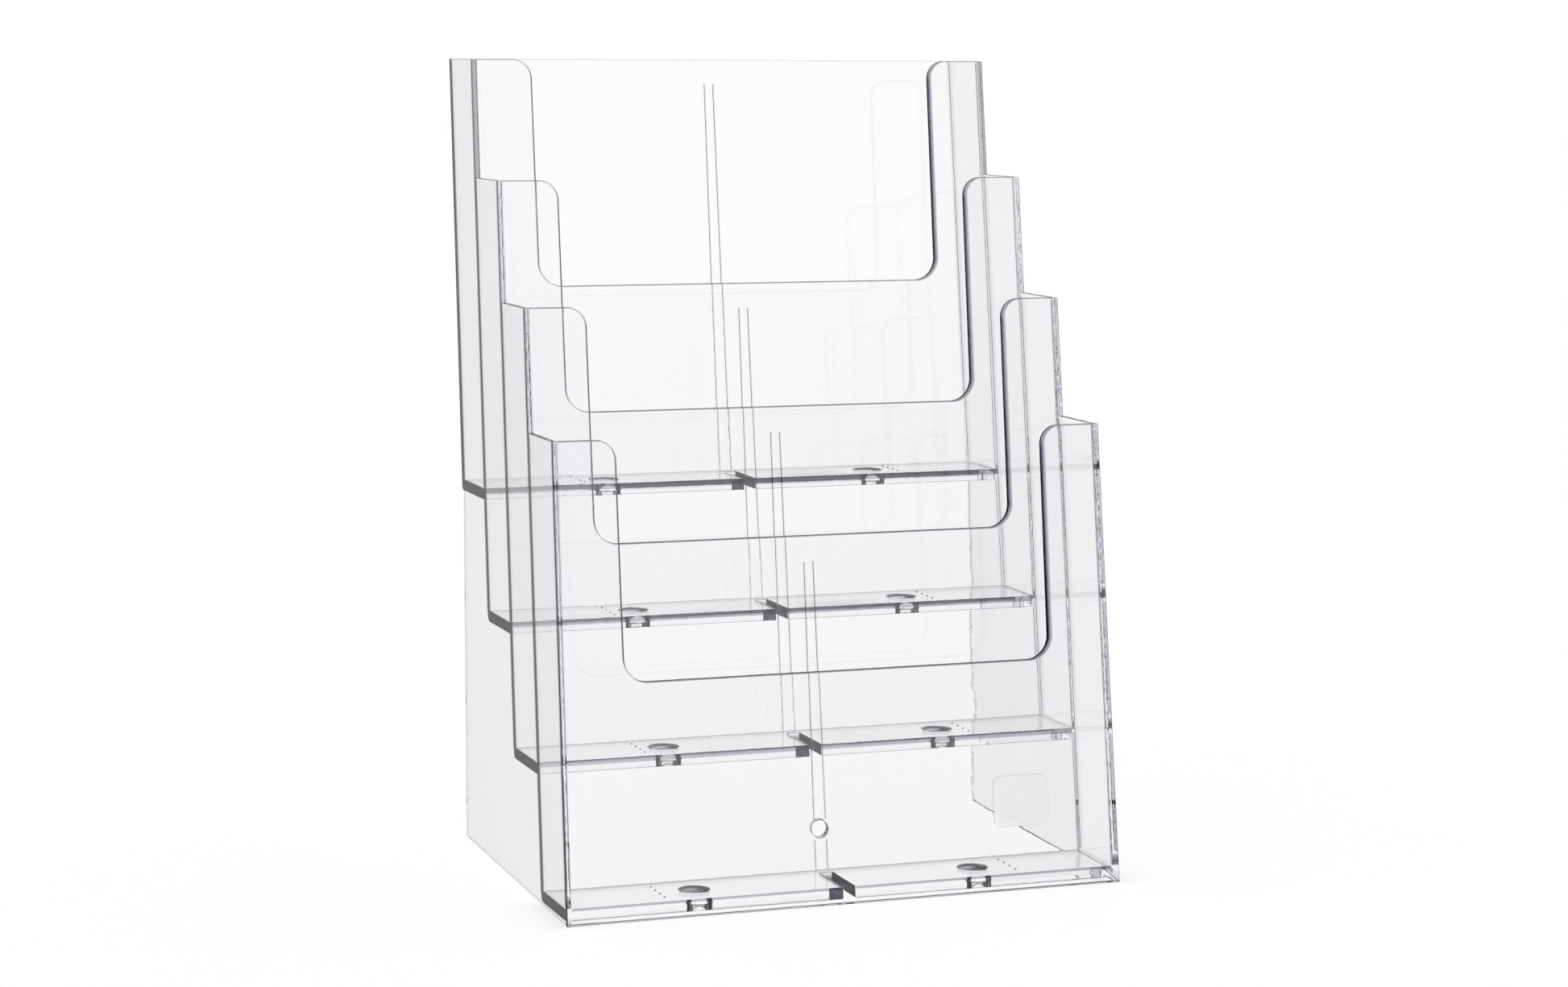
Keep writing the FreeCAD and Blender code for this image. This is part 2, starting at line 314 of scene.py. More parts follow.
def add_plate(shell, loops, place, lift, faces, bonds=((), ()), shades=((), ()), dots=(), stands=(),
              base="closed"):
    """A plate with rounded edges.

    The edge's section runs from the first face to the second as two quarter rounds with a
    straight between them: at angle t a point lies inset * (1 - cos t) in from the outline and
    rim * (1 - sin t) below its face. Its painted shade is EDGE_ROUND * sin 2t, or the edge's flat
    share times (1 - sin^6 t) where that is more. The section is carried along each outline, and
    the two faces are filled in. bonds are areas of each face, with the bond that each has, and shades
    are areas that get painted shade like an edge. dots are round domes on the first face, with
    painted shade all over, and stands are areas of it on which a rib grows. The second face, or
    base, is closed, open where the plate is such a rib, or fused to a neighbour.
    """
    t = np.linspace(np.pi / 2, 0, RIM_STEPS + 1)
    for loop in loops:
        grid, tilt = [], []
        for side, angles in ((0, t), (1, t[::-1])):
            at = loop["at"] + loop["shift"] * side
            flat = at[:, None] + loop["inset"][:, side][:, None] * (1 - np.cos(angles))[None, :, None]
            down = loop["rim"][:, side][:, None] * (1 - np.sin(angles))[None, :]
            grid.append(place(flat, side, down))
            tilt += [(math.cos(v), math.sin(v), side) for v in angles]
        grid = np.concatenate(grid, 1)
        share, over, side = np.array(tilt).T
        towards = np.where(side[:, None] == 0, faces[0], faces[1]) * over[:, None]

        def section(normal):
            whole = lift(normal)[:, None] * share[None, :, None] + towards[None]
            return whole / np.linalg.norm(whole, axis=2, keepdims=True)

        # painted edge shade, none where the edge is fused to a neighbour
        dark = np.maximum((EDGE_ROUND * 2 * share * over)[None], loop["flat"][:, None] * (1 - over ** 6))
        dark[loop["bond"] != FREE] = 0.0
        shell.add_grid(grid, section(loop["n_out"]), section(np.roll(loop["n_in"], -1, axis=0)),
                       dark, loop["bond"])
    for side in (0, 1) if base != "open" else (0,):
        rings = [loop["at"] + loop["shift"] * side + loop["inset"][:, side] for loop in loops]
        gaps = [circle(*dot)["at"] for dot in dots] + list(stands) if side == 0 else []
        areas = [np.asarray(area, float) for area, _ in bonds[side]]
        points, edges = [], []
        darker = [np.asarray(area, float) for area in shades[side]]
        for ring in rings + gaps + areas + darker:
            start = len(points)
            points += [tuple(p) for p in ring]
            edges += [(start + i, start + (i + 1) % len(ring)) for i in range(len(ring))]
        made = delaunay_2d_cdt([Vector(p) for p in points], edges, [], 0, FILL_TOUCH)
        tri = np.array(made[2])
        middle = np.array([tuple(v) for v in made[0]])[tri].mean(1)
        solid = np.zeros(len(tri), bool)
        for ring in rings:
            solid ^= inside(middle, ring)
        for ring in gaps:
            solid &= ~inside(middle, ring)
        tri, middle = tri[solid], middle[solid]
        kinds = np.full(len(tri), FUSED if side == 1 and base == "fused" else FREE)
        for area, (_, bond) in zip(areas, bonds[side]):
            kinds[inside(middle, area)] = bond
        exact = np.array([points[o[0]] if o else tuple(v) for v, o in zip(made[0], made[3])])
        flat = exact[tri]
        dark = np.zeros(flat.shape[:2])
        # painted shade on the strips beside inner corners
        for area in darker:
            dark[inside(middle, area)] = SHADE
        shell.add(place(flat, side, np.zeros(flat.shape[:2])),
                  np.broadcast_to(faces[side], (len(flat), 3, 3)), dark, kinds)
    for dot in dots:
        add_dome(shell, dot, place)


def add_dome(shell, dot, place):
    """A low round dome: at angle t it lies radius * sin t from its middle, height * cos t up. It carries the
    full painted edge shade.
    """
    a, b, radius = dot
    ray = (circle(a, b, radius)["at"] - [a, b]) / radius
    t = np.linspace(np.pi / 2, 0, DOME_STEPS + 1)
    flat = np.array([a, b]) + radius * ray[:, None] * np.sin(t)[None, :, None]
    places = place(flat, 0, np.tile(-DOT_HEIGHT * np.cos(t), (len(ray), 1)))
    normals = places - place(np.array([a, b]), 0, np.array(0.0))
    normals /= np.linalg.norm(normals, axis=2, keepdims=True)
    # painted shade over the whole dome
    shell.add_grid(places, normals, np.roll(normals, -1, axis=0), np.ones(len(t)),
                   np.full(len(ray), FREE))


def finish_piece(name, shell, materials):
    """One mesh from a shell: corners that meet are merged, and collapsed faces are dropped."""
    places, normals = np.concatenate(shell.places), np.concatenate(shell.normals)
    edge, kind = np.concatenate(shell.edge), np.concatenate(shell.kind)
    keys = np.round(places.reshape(-1, 3) / MERGE + MERGE_SHIFT).astype(np.int64)
    _, first, index = np.unique(keys, axis=0, return_index=True, return_inverse=True)
    faces = index.reshape(-1, 3)
    whole = np.all(faces != np.roll(faces, 1, axis=1), axis=1)
    faces, normals, edge, kind = faces[whole], normals[whole], edge[whole], kind[whole]
    corners = places.reshape(-1, 3)[first] - [0.0, DEPTH / 2, 0.0]

    mesh = bpy.data.meshes.new(name)
    mesh.from_pydata((corners * MM).tolist(), [], faces.tolist())
    mesh.polygons.foreach_set("use_smooth", np.ones(len(faces), bool))
    mesh.polygons.foreach_set("material_index", kind.astype(np.int32))
    mesh.attributes.new("edge", "FLOAT", "CORNER").data.foreach_set(
        "value", edge.ravel().astype(np.float32))
    for material in materials:
        mesh.materials.append(material)
    mesh.update()
    mesh.normals_split_custom_set(normals.reshape(-1, 3).tolist())
    piece = bpy.data.objects.new(name, mesh)
    bpy.context.scene.collection.objects.link(piece)
    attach(piece, "root")
    return piece


# ---------------------------------------------------------------- how each kind of plate lies
def unit(*v):
    return np.array(v, float) / np.linalg.norm(v)


def in_wall(wall):
    """Wall plates are drawn in (x, z): face 0 is the front, face 1 the back."""
    def place(flat, side, down):
        x, z = flat[..., 0], flat[..., 1]
        y = wall_front(wall, z) + down if side == 0 else wall_back(wall, z) - down
        return np.stack([x, y, z], -1)
    return place


def on_wall(wall, thick):
    """Plates that stand on a wall's front face, thick mm proud of it."""
    def place(flat, side, down):
        x, z = flat[..., 0], flat[..., 1]
        y = wall_front(wall, z) - (thick - down if side == 0 else 0.0)
        return np.stack([x, y, z], -1)
    return place


def in_floor(pocket):
    """Floor plates are drawn in (x, y): face 0 is the top, face 1 the underside."""
    def place(flat, side, down):
        x, y = flat[..., 0], flat[..., 1]
        z = floor_line(pocket, y) - down if side == 0 else floor_line(pocket, y, FLOOR_THICK) + down
        return np.stack([x, y, z], -1)
    return place


def in_side(hand):
    """Side plates are drawn in (y, z): face 0 is the outside, face 1 the inside."""
    def place(flat, side, down):
        y, z = flat[..., 0], flat[..., 1]
        x = HALF_WIDTH - DRAFT * z - (down if side == 0 else SIDE_THICK - down)
        return np.stack([hand * x, y, z], -1)
    return place


def lift_upright(n):
    return np.stack([n[..., 0], np.zeros(n.shape[:-1]), n[..., 1]], -1)


def lift_flat(n):
    return np.stack([n[..., 0], n[..., 1], np.zeros(n.shape[:-1])], -1)


def lift_side(n):
    return np.stack([np.zeros(n.shape[:-1]), n[..., 0], n[..., 1]], -1)


WALL_FACES = (unit(0, -1, LEAN), unit(0, 1, -LEAN))


def guide_ribs(wall):
    """Outlines of the two guide ribs, which draw together towards the top and stop clear of
    the small hole."""
    low = floor_rear(wall + 1, 0.0)[1] + RIB_GAP
    high = (BACK_TOP if wall == 0 else wall_top(wall) - CUT_DEPTH) - RIB_START
    spans = [(low, high)]
    if wall == TIERS - 1:
        clear_of = BACK_HOLE_R + 2 * HOLE_RIM_R
        spans = [(low, BACK_HOLE_Z - clear_of), (BACK_HOLE_Z + clear_of, high)]
    w, rims = RIB_WIDTH / 2, (RIB_WIDTH * RIB_RIM_SHARE, 0.0)
    ribs = []
    for side in (-1, 1):
        for span in spans:
            a, b = (side * (RIB_FOOT_X + (RIB_TOP_X - RIB_FOOT_X) * (z - low) / (high - low)) for z in span)
            ribs.append(trace([Corner(a - w, span[0], rims=rims), Corner(a + w, span[0], rims=rims),
                               Corner(b + w, span[1], rims=rims), Corner(b - w, span[1], rims=rims)]))
    return ribs


def label_corners():
    x, z, rims = LABEL_HALF_WIDTH, LABEL_HALF_HEIGHT, (LABEL_THICK / 2, 0.0)
    return [Corner(LABEL_X + i * x, LABEL_Z + j * z, r=LABEL_R, rims=rims)
            for i, j in ((-1, -1), (1, -1), (1, 1), (-1, 1))]


def wall_shell(wall):
    """A leaning wall: plain at the back, U-shaped in front, bonded to the sides and floors."""
    low = wall_foot(wall)
    high = BACK_TOP if wall == 0 else wall_top(wall)
    rims = (RIM_R, RIM_R)
    heel = (0.0, HEEL_R) if wall < TIERS else (FOOT_RIM_R, FOOT_RIM_R)
    joints = []
    if wall > 0:
        joints += [floor_front(wall, FLOOR_THICK)[1], floor_front(wall, 0.0)[1]]
    if wall < TIERS:
        joints += [floor_rear(wall + 1, 0.0)[1]]
    joints = sorted(joints)
    outline = [Corner(-half_inside(low), low, rims=heel)]
    # the ends bonded to the side panels are painted shade
    outline += [Corner(half_inside(z), z, bond=END) for z in [low] + joints]
    faint = (FAINT_RIM_R, FAINT_RIM_R)
    outline.append(Corner(half_inside(high), high, rims=rims if wall > 0 else faint, flat=0.0))
    if wall > 0:
        half, foot = HALF_WIDTH - DRAFT * high - EAR_WIDTH, high - CUT_DEPTH
        outline += [Corner(half, high, r=CUT_TOP_R, rims=CUT_RIMS, flat=CUT_FLAT),
                    Corner(half, foot, r=CUT_FOOT_R, rims=rims),
                    Corner(-half, foot, r=CUT_FOOT_R, rims=rims),
                    Corner(-half, high, r=CUT_TOP_R, rims=rims)]
    outline += [Corner(-half_inside(z), z, bond=END) for z in [high] + joints[::-1]]
    loops = [trace(outline)]
    if wall == TIERS - 1:
        loops.append(circle(0.0, BACK_HOLE_Z, BACK_HOLE_R, (HOLE_RIM_R, HOLE_RIM_R)))

    front, back, ribs = [], [], []
    if wall < TIERS:
        z0, z1 = low, floor_rear(wall + 1, 0.0)[1]
        front.append(([(-half_inside(z0), z0), (half_inside(z0), z0), (half_inside(z1), z1),
                       (-half_inside(z1), z1)], FUSED))
        ribs = guide_ribs(wall)
    if wall == LABEL_WALL:
        front.append((trace(label_corners())["at"], FUSED))
    if wall > 0:
        z0, z1 = floor_front(wall, FLOOR_THICK)[1], floor_front(wall, 0.0)[1]
        for side in (-1, 1):
            back.append(([(side * SLOT_HALF, z0), (side * half_inside(z0), z0),
                          (side * half_inside(z1), z1), (side * SLOT_HALF, z1)], FUSED))
            near, far = side * (SLOT_HALF + FLOOR_LINE_GAP), side * (half_inside(z1) - FLOOR_LINE_GAP)
            # painted shade: dark lines along the top and foot of the floor's joint
            for low_line, high_line in ((z1 - FLOOR_TOP_LINES[wall], z1 - LINE_INSET),
                                        (z0 + LINE_INSET, z0 + FLOOR_FOOT_LINE)):
                back.append(([(near, low_line), (far, low_line), (far, high_line), (near, high_line)], LINE))
    shell = Shell()
    add_plate(shell, loops, in_wall(wall), lift_upright, WALL_FACES, (front, back),
              stands=[rib["at"] for rib in ribs])
    for rib in ribs:
        add_plate(shell, [rib], on_wall(wall, RIB_HEIGHT), lift_upright, WALL_FACES, base="open")
    return shell


def floor_shell(pocket):
    """A pocket floor: two round holes, each with a row of dots, and the divider slot."""
    (y_front, z_top), (y_under, z_under) = floor_front(pocket, 0.0), floor_front(pocket, FLOOR_THICK)
    (y_rear, z_rear), (y_rear_under, z_rear_under) = floor_rear(pocket, 0.0), floor_rear(pocket, FLOOR_THICK)
    wide, wide_rear = half_inside(z_top), half_inside(z_rear)
    near, far = y_under - y_front, y_rear_under - y_rear
    grow, grow_rear = half_inside(z_under) - wide, half_inside(z_rear_under) - wide_rear
    slot = (SLOT_RIM_R, SLOT_RIM_R)
    # the END edges at the sides are painted shade
    outline = [
        Corner(-wide, y_front, bond=FUSED, shift=(-grow, near)),
        Corner(-SLOT_HALF, y_front, rims=slot, flat=SLOT_FLAT, shift=(0, near)),
        Corner(-SLOT_HALF, y_front + SLOT_LENGTH, rims=slot, flat=SLOT_START_FLAT),
        Corner(SLOT_HALF, y_front + SLOT_LENGTH, rims=slot, flat=SLOT_FLAT),
        Corner(SLOT_HALF, y_front, bond=FUSED, shift=(0, near)),
        Corner(wide, y_front, bond=END, shift=(grow, near)),
        Corner(wide_rear, y_rear, bond=FUSED, shift=(grow_rear, far)),
        Corner(-wide_rear, y_rear, bond=END, shift=(-grow_rear, far)),
    ]
    middle = (y_front + wall_front(pocket - 1, z_top)) / 2
    loops, dots = [trace(outline)], []
    for side in (-1, 1):
        loops.append(circle(side * HOLE_X, middle, HOLE_R, (HOLE_TOP_R, HOLE_RIM_R)))
        for i in range(DOT_COUNT):
            dots.append((side * DOT_X[pocket], middle + (i - (DOT_COUNT - 1) / 2) * DOT_PITCH, DOT_R))
    shell = Shell()
    up = unit(0, FLOOR_FALL, 1)
    add_plate(shell, loops, in_floor(pocket), lift_flat, (up, -up), dots=dots)
    return shell


def wall_end(wall):
    """Section of a wall where it is bonded to a side panel, as (y, z) points."""
    low = wall_foot(wall)
    high = BACK_TOP if wall == 0 else wall_top(wall)
    heel = HEEL_R if wall < TIERS else 0.0
    at_top = rim_height(wall, wall_back(wall, high))
    return trace([Corner(wall_front(wall, low), low), Corner(wall_back(wall, low), low, r=heel),
                  Corner(wall_back(wall, high), at_top), Corner(wall_front(wall, high), high)])["at"]


def rim_height(wall, y):
    """Height of a side panel's sloping rim behind a wall's ears."""
    if wall == 0:
        return BACK_TOP
    return wall_top(wall) - RIM_FALL * (y - wall_front(wall, wall_top(wall)))


def side_shell(hand):
    """A side panel: flat foot, stepped front edge, falling rims and the leaning back edge."""
    foot, upright, bare = (SIDE_RIM_R, 0.0), (SIDE_CORNER_R, 0.0), (STEP_RIM_R, STEP_RIM_R)
    under = wall_foot(0)
    outline = [
        Corner(0.0, 0.0, rims=foot),
        Corner(wall_back(TIERS, 0.0), 0.0, rims=foot),
        Corner(FOOT_DEPTH, 0.0, r=FOOT_CORNER_R, rims=(SIDE_RIM_R, 0.0)),
        Corner(FOOT_DEPTH + REAR_EDGE_LEAN * under, under, rims=foot),
        Corner(wall_back(0, under), under, r=HEEL_R, rims=upright),
        Corner(wall_back(0, BACK_TOP), BACK_TOP, rims=(SIDE_RIM_R, 0.0), flat=0.0),
        Corner(wall_front(0, BACK_TOP), BACK_TOP, rims=bare, flat=0.0),
    ]
    for wall in range(1, TIERS + 1):
        top = wall_top(wall)
        if wall > 1:
            end = top - RIM_FALL * PITCH
            y = wall_front(wall - 1, end)
            outline.append(Corner(y, end, rims=bare, flat=0.0))
            outline.append(Corner(y - RIM_NEAR, rim_height(wall, y - RIM_NEAR), rims=bare, flat=0.0))
        y = wall_back(wall, top)
        outline.append(Corner(y + RIM_NEAR, rim_height(wall, y + RIM_NEAR), rims=bare, flat=0.0))
        outline.append(Corner(y, rim_height(wall, y), rims=(SIDE_RIM_R, 0.0), flat=0.0))
        flat = TOP_STEP_FLAT if wall == 1 else 0.0
        outline.append(Corner(wall_front(wall, top), top, rims=upright, flat=flat))
    # the wall and floor ends on the inside face are painted shade
    bonds = [(wall_end(wall), END) for wall in range(TIERS + 1)]
    for pocket in range(1, TIERS + 1):
        bonds.append(([floor_front(pocket, 0.0), floor_front(pocket, FLOOR_THICK),
                       floor_rear(pocket, FLOOR_THICK), floor_rear(pocket, 0.0)], END))
    strips = []  # painted shade strips beside both faces of each wall, in the pockets and under the floors
    for wall in range(TIERS + 1):
        spans = []
        if wall < TIERS:
            rim = rim_height(wall + 1, wall_front(wall, wall_top(wall + 1)))
            spans.append((wall_front, -1, floor_rear(wall + 1, 0.0)[1], rim - RIM_R))
        if wall > 0:
            spans.append((wall_back, 1, floor_front(wall, 0.0)[1],
                          rim_height(wall, wall_back(wall, wall_top(wall))) - RIM_R))
        if 0 < wall < TIERS:
            spans.append((wall_back, 1, wall_foot(wall) + HEEL_R, floor_front(wall, FLOOR_THICK)[1]))
        for face, way, start, stop in spans:
            start, stop = start + SHADE_END, stop - SHADE_END
            strips.append([(face(wall, z) + way * gap, z) for gap, z in (
                (SHADE_FROM, start), (SHADE_TO, start), (SHADE_TO, stop), (SHADE_FROM, stop))])
    shell = Shell()
    out = unit(hand, 0, DRAFT)
    add_plate(shell, [trace(outline)], in_side(hand), lift_side, (out, -out), ((), bonds), ((), strips))
    return shell


# ---------------------------------------------------------------- materials
MIX_A, MIX_B, MIX_RESULT = 6, 7, 2  # places of the colour sockets of a Mix node
INDEX = 1.59              # refractive index of polystyrene
WAVE_STRETCH = (1.0, 1.0, 0.35)  # the slow waves are drawn out along the height
PEEL_HEIGHT = 0.04        # height of the fine peel, where the slow waves have 1
UNEVEN = (0.9, 1.06)      # the painted shade of the free edges varies between these
FOOT_SHADE = 0.993        # share of light left at the foot, which rises to 1
FOOT_SHADE_TOP = 0.25     # at this height, in metres
GRAZE_POWER = 2.0         # how fast the painted shade on the outside grows as it turns away

# How clear a joint's painted shade is: from, to, while the share by which it is turned away goes from, to
SQUARE = (0.35, 0.0, 0.0, 0.14)   # clearer again where it is looked at squarely
GUIDED = (0.0, 1.0, 0.45, 0.65)   # clear where light runs along the plate, not through it


def feed(tree, socket, value):
    """Link a socket to another node's output, or give it a plain value."""
    if isinstance(value, bpy.types.NodeSocket):
        tree.links.new(value, socket)
    else:
        socket.default_value = value


def sums(tree, operation, *values):
    """Output of a Math node with that operation."""
    node = tree.nodes.new("ShaderNodeMath")
    node.operation = operation
    for socket, value in zip(node.inputs, values):
        feed(tree, socket, value)
    return node.outputs[0]


def ramp(tree, value, low, high, start=0.0, stop=1.0):
    """Output of a Map Range node: low to high while the value goes from start to stop."""
    node = tree.nodes.new("ShaderNodeMapRange")
    for name, given in (("Value", value), ("From Min", start), ("From Max", stop),
                        ("To Min", low), ("To Max", high)):
        feed(tree, node.inputs[name], given)
    return node.outputs["Result"]


def mixed(tree, share, first, second, blend="MIX"):
    """Output of a colour Mix node."""
    node = tree.nodes.new("ShaderNodeMix")
    node.data_type, node.blend_type = "RGBA", blend
    for place, given in (("Factor", share), (MIX_A, first), (MIX_B, second)):
        feed(tree, node.inputs[place], given)
    return node.outputs[MIX_RESULT]


def noise(tree, where, scale, detail):
    """Output of a Noise Texture node."""
    node = tree.nodes.new("ShaderNodeTexNoise")
    for name, given in (("Vector", where), ("Scale", scale), ("Detail", detail)):
        feed(tree, node.inputs[name], given)
    return node.outputs["Fac"]


def layered(tree, share, first, second):
    """Output of a Mix Shader node: this share of the second shader over the first."""
    node = tree.nodes.new("ShaderNodeMixShader")
    for socket, given in zip(node.inputs, (share, first, second)):
        tree.links.new(given, socket)
    return node.outputs[0]


def flow_and_shade_group():
    """Node group of the moulding flow and painted shade: slow waves, fine orange peel, and painted
    shade on a slightly darker foot and the darker free edges.

    Inputs: Clear Colour, the edge colour of the painted shade, Wave Scale, Peel Scale, Haze.
    Outputs: Colour with the painted shade, Roughness, Height.
    """
    tree = bpy.data.node_groups.new("moulding flow and painted shade", "ShaderNodeTree")
    sockets = (("Clear Colour", "INPUT", "NodeSocketColor"), ("Painted Edge Shade", "INPUT", "NodeSocketColor"),
               ("Wave Scale", "INPUT", "NodeSocketFloat"), ("Peel Scale", "INPUT", "NodeSocketFloat"),
               ("Haze", "INPUT", "NodeSocketFloat"), ("Colour", "OUTPUT", "NodeSocketColor"),
               ("Roughness", "OUTPUT", "NodeSocketFloat"), ("Height", "OUTPUT", "NodeSocketFloat"))
    for name, way, kind in sockets:
        tree.interface.new_socket(name=name, in_out=way, socket_type=kind)
    given, out = tree.nodes.new("NodeGroupInput"), tree.nodes.new("NodeGroupOutput")
    where = tree.nodes.new("ShaderNodeTexCoord").outputs["Object"]
    stretch = tree.nodes.new("ShaderNodeMapping")
    stretch.inputs["Scale"].default_value = WAVE_STRETCH
    tree.links.new(where, stretch.inputs["Vector"])
    wave = noise(tree, stretch.outputs["Vector"], given.outputs["Wave Scale"], 1.0)
    peel = noise(tree, where, given.outputs["Peel Scale"], 2.0)

    # painted shade on the free edges, its darkness varied by the slow waves
    edge = tree.nodes.new("ShaderNodeAttribute")
    edge.attribute_name = "edge"
    dark = sums(tree, "MULTIPLY", edge.outputs["Fac"], ramp(tree, wave, *UNEVEN))
    tint = mixed(tree, dark, given.outputs["Clear Colour"], given.outputs["Painted Edge Shade"])
    # painted shade: slightly darker towards the foot
    place = tree.nodes.new("ShaderNodeSeparateXYZ")
    tree.links.new(where, place.inputs[0])
    foot = ramp(tree, place.outputs["Z"], FOOT_SHADE, 1.0, stop=FOOT_SHADE_TOP)

    tree.links.new(mixed(tree, 1.0, tint, foot, "MULTIPLY"), out.inputs["Colour"])
    tree.links.new(sums(tree, "MULTIPLY", peel, given.outputs["Haze"]), out.inputs["Roughness"])
    tree.links.new(sums(tree, "MULTIPLY_ADD", peel, PEEL_HEIGHT, wave), out.inputs["Height"])
    return tree


def bare_material(name):
    """A material whose tree holds only its output, with that output's surface socket."""
    mat = bpy.data.materials.new(name)
    mat.use_nodes = True
    mat.node_tree.nodes.clear()
    return mat, mat.node_tree, mat.node_tree.nodes.new("ShaderNodeOutputMaterial").inputs["Surface"]


def clear_plastic(name, flow, values, absorb, bump, graze=0.0, mirrored=0.6):
    """Clear plastic that bends light and mirrors it by Fresnel's law.

    absorb is the share of red, green and blue that is left after a metre inside. graze is painted
    shade: what the outside's colour loses where it is seen at a flat angle, standing for darker
    surroundings mirrored there. mirrored is the share of its surroundings that it shows there.
    Lamp light passes straight through to the floor.
    """
    mat, tree, surface = bare_material(name)
    add, link = tree.nodes.new, tree.links.new
    group = add("ShaderNodeGroup")
    group.node_tree = flow
    for socket, value in values.items():
        group.inputs[socket].default_value = value
    path, within = add("ShaderNodeLightPath"), add("ShaderNodeNewGeometry").outputs["Backfacing"]

    length = sums(tree, "MULTIPLY", path.outputs["Ray Length"], within)
    left = add("ShaderNodeCombineColor")
    for i, share in enumerate(absorb):
        link(sums(tree, "POWER", share, length), left.inputs[i])
    # painted shade on the outside where it is seen at a flat angle
    turned = sums(tree, "POWER", add("ShaderNodeLayerWeight").outputs["Facing"], GRAZE_POWER)
    seen = sums(tree, "MULTIPLY", turned, sums(tree, "SUBTRACT", 1.0, within))
    colour = mixed(tree, 1.0, group.outputs["Colour"], left.outputs["Color"], "MULTIPLY")
    colour = mixed(tree, 1.0, colour, ramp(tree, seen, 1.0, 1.0 - graze), "MULTIPLY")
    mirror = mixed(tree, 1.0, colour, ramp(tree, within, mirrored, 1.0), "MULTIPLY")

    relief = add("ShaderNodeBump")
    relief.inputs["Strength"].default_value = 1.0
    relief.inputs["Distance"].default_value = bump
    link(group.outputs["Height"], relief.inputs["Height"])
    bend, shine, split = (add(kind) for kind in
                          ("ShaderNodeBsdfRefraction", "ShaderNodeBsdfAnisotropic", "ShaderNodeFresnel"))
    bend.inputs["IOR"].default_value = split.inputs["IOR"].default_value = INDEX
    for lobe, tint in ((bend, colour), (shine, mirror)):
        link(tint, lobe.inputs["Color"])
        link(group.outputs["Roughness"], lobe.inputs["Roughness"])
    for node in (bend, shine, split):
        link(relief.outputs["Normal"], node.inputs["Normal"])

    through = add("ShaderNodeBsdfTransparent").outputs[0]
    shader = layered(tree, split.outputs[0], bend.outputs[0], shine.outputs[0])
    for kind in ("Is Diffuse Ray", "Is Shadow Ray"):
        shader = layered(tree, path.outputs[kind], shader, through)
    link(shader, surface)
    return mat


def fused_joint_or_painted_shade(name, colour):
    """Where two pieces of the one moulding run into each other, light goes straight on.

    A coloured joint is painted shade for the darker inner corner of the moulding. Its painted shade
    clears by SQUARE and GUIDED, whichever is clearer.
    """
    mat, tree, surface = bare_material(name)
    through = tree.nodes.new("ShaderNodeBsdfTransparent")
    if min(colour) < 1:
        facing = tree.nodes.new("ShaderNodeLayerWeight").outputs["Facing"]
        clearer = sums(tree, "MAXIMUM", *(ramp(tree, facing, *ends) for ends in (SQUARE, GUIDED)))
        colour = mixed(tree, clearer, colour, (1, 1, 1, 1))
    feed(tree, through.inputs["Color"], colour)
    tree.links.new(through.outputs[0], surface)
    return mat


def table_paint():
    """Matt white paint that glows a little, with a very faint unevenness."""
    mat = bpy.data.materials.new("white table")
    mat.use_nodes = True
    tree = mat.node_tree
    paint = tree.nodes["Principled BSDF"]
    where = tree.nodes.new("ShaderNodeTexCoord").outputs["Object"]
    cloud = tree.nodes.new("ShaderNodeTexNoise")
    cloud.inputs["Scale"].default_value = 3.0
    tree.links.new(where, cloud.inputs["Vector"])
    tree.links.new(ramp(tree, cloud.outputs["Fac"], 0.795, 0.805), paint.inputs["Base Color"])
    paint.inputs["Roughness"].default_value = 1.0
    paint.inputs["Specular IOR Level"].default_value = 0.0
    paint.inputs["Emission Color"].default_value = (1, 1, 1, 1)
    paint.inputs["Emission Strength"].default_value = 0.205
    return mat


# ---------------------------------------------------------------- build the pieces
# the group paints shade on the free edges and the foot as well as the flow
flow = flow_and_shade_group()
# the edge colours here are painted shade for the free edges
clear = clear_plastic(
    "clear polystyrene", flow,
    {"Clear Colour": (0.997, 0.997, 1.0, 1), "Painted Edge Shade": (0.05, 0.045, 0.09, 1),
     "Wave Scale": 14.0, "Peel Scale": 260.0, "Haze": 0.02},
    absorb=(0.30, 0.29, 0.42), bump=0.0003, graze=0.07)
clear_floor = clear_plastic(
    "clear polystyrene floors", flow,
    {"Clear Colour": (1.0, 1.0, 1.0, 1), "Painted Edge Shade": (0.06, 0.06, 0.10, 1),
     "Wave Scale": 14.0, "Peel Scale": 260.0, "Haze": 0.02},
    absorb=(0.30, 0.29, 0.36), bump=0.0003, mirrored=0.85)
film = clear_plastic(
    "clear film", flow,
    {"Clear Colour": (0.992, 0.992, 0.996, 1), "Painted Edge Shade": (0.45, 0.45, 0.48, 1),
     "Wave Scale": 40.0, "Peel Scale": 60.0, "Haze": 0.7},
    absorb=(0.1, 0.1, 0.1), bump=0.000004)
joint = fused_joint_or_painted_shade("fused joint", (1, 1, 1, 1))
# painted shade: near-black where walls and floors run into the side panels, and dark lines at the floors'
# joints
end = fused_joint_or_painted_shade("fused end painted shade", (0.008, 0.007, 0.015, 1))
line = fused_joint_or_painted_shade("fused line painted shade", (0.34, 0.33, 0.41, 1))

for node, shell in [
    ("left_side_panel", side_shell(-1)), ("right_side_panel", side_shell(1)),
    ("back_panel", wall_shell(0)),
    *((f"pocket_{n}_front_panel", wall_shell(n)) for n in range(1, TIERS + 1)),
    *((f"pocket_{n}_floor", floor_shell(n)) for n in range(1, TIERS + 1)),
]:
    plastic = clear_floor if node.endswith("floor") else clear
    piece = finish_piece("clear_" + node, shell, (plastic, joint, end, line))
    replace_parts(piece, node)

sticker = Shell()
add_plate(sticker, [trace(label_corners())], on_wall(LABEL_WALL, LABEL_THICK), lift_upright, WALL_FACES,
          base="fused")
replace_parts(finish_piece("blank_film_label", sticker, (film, joint)), "blank_label")

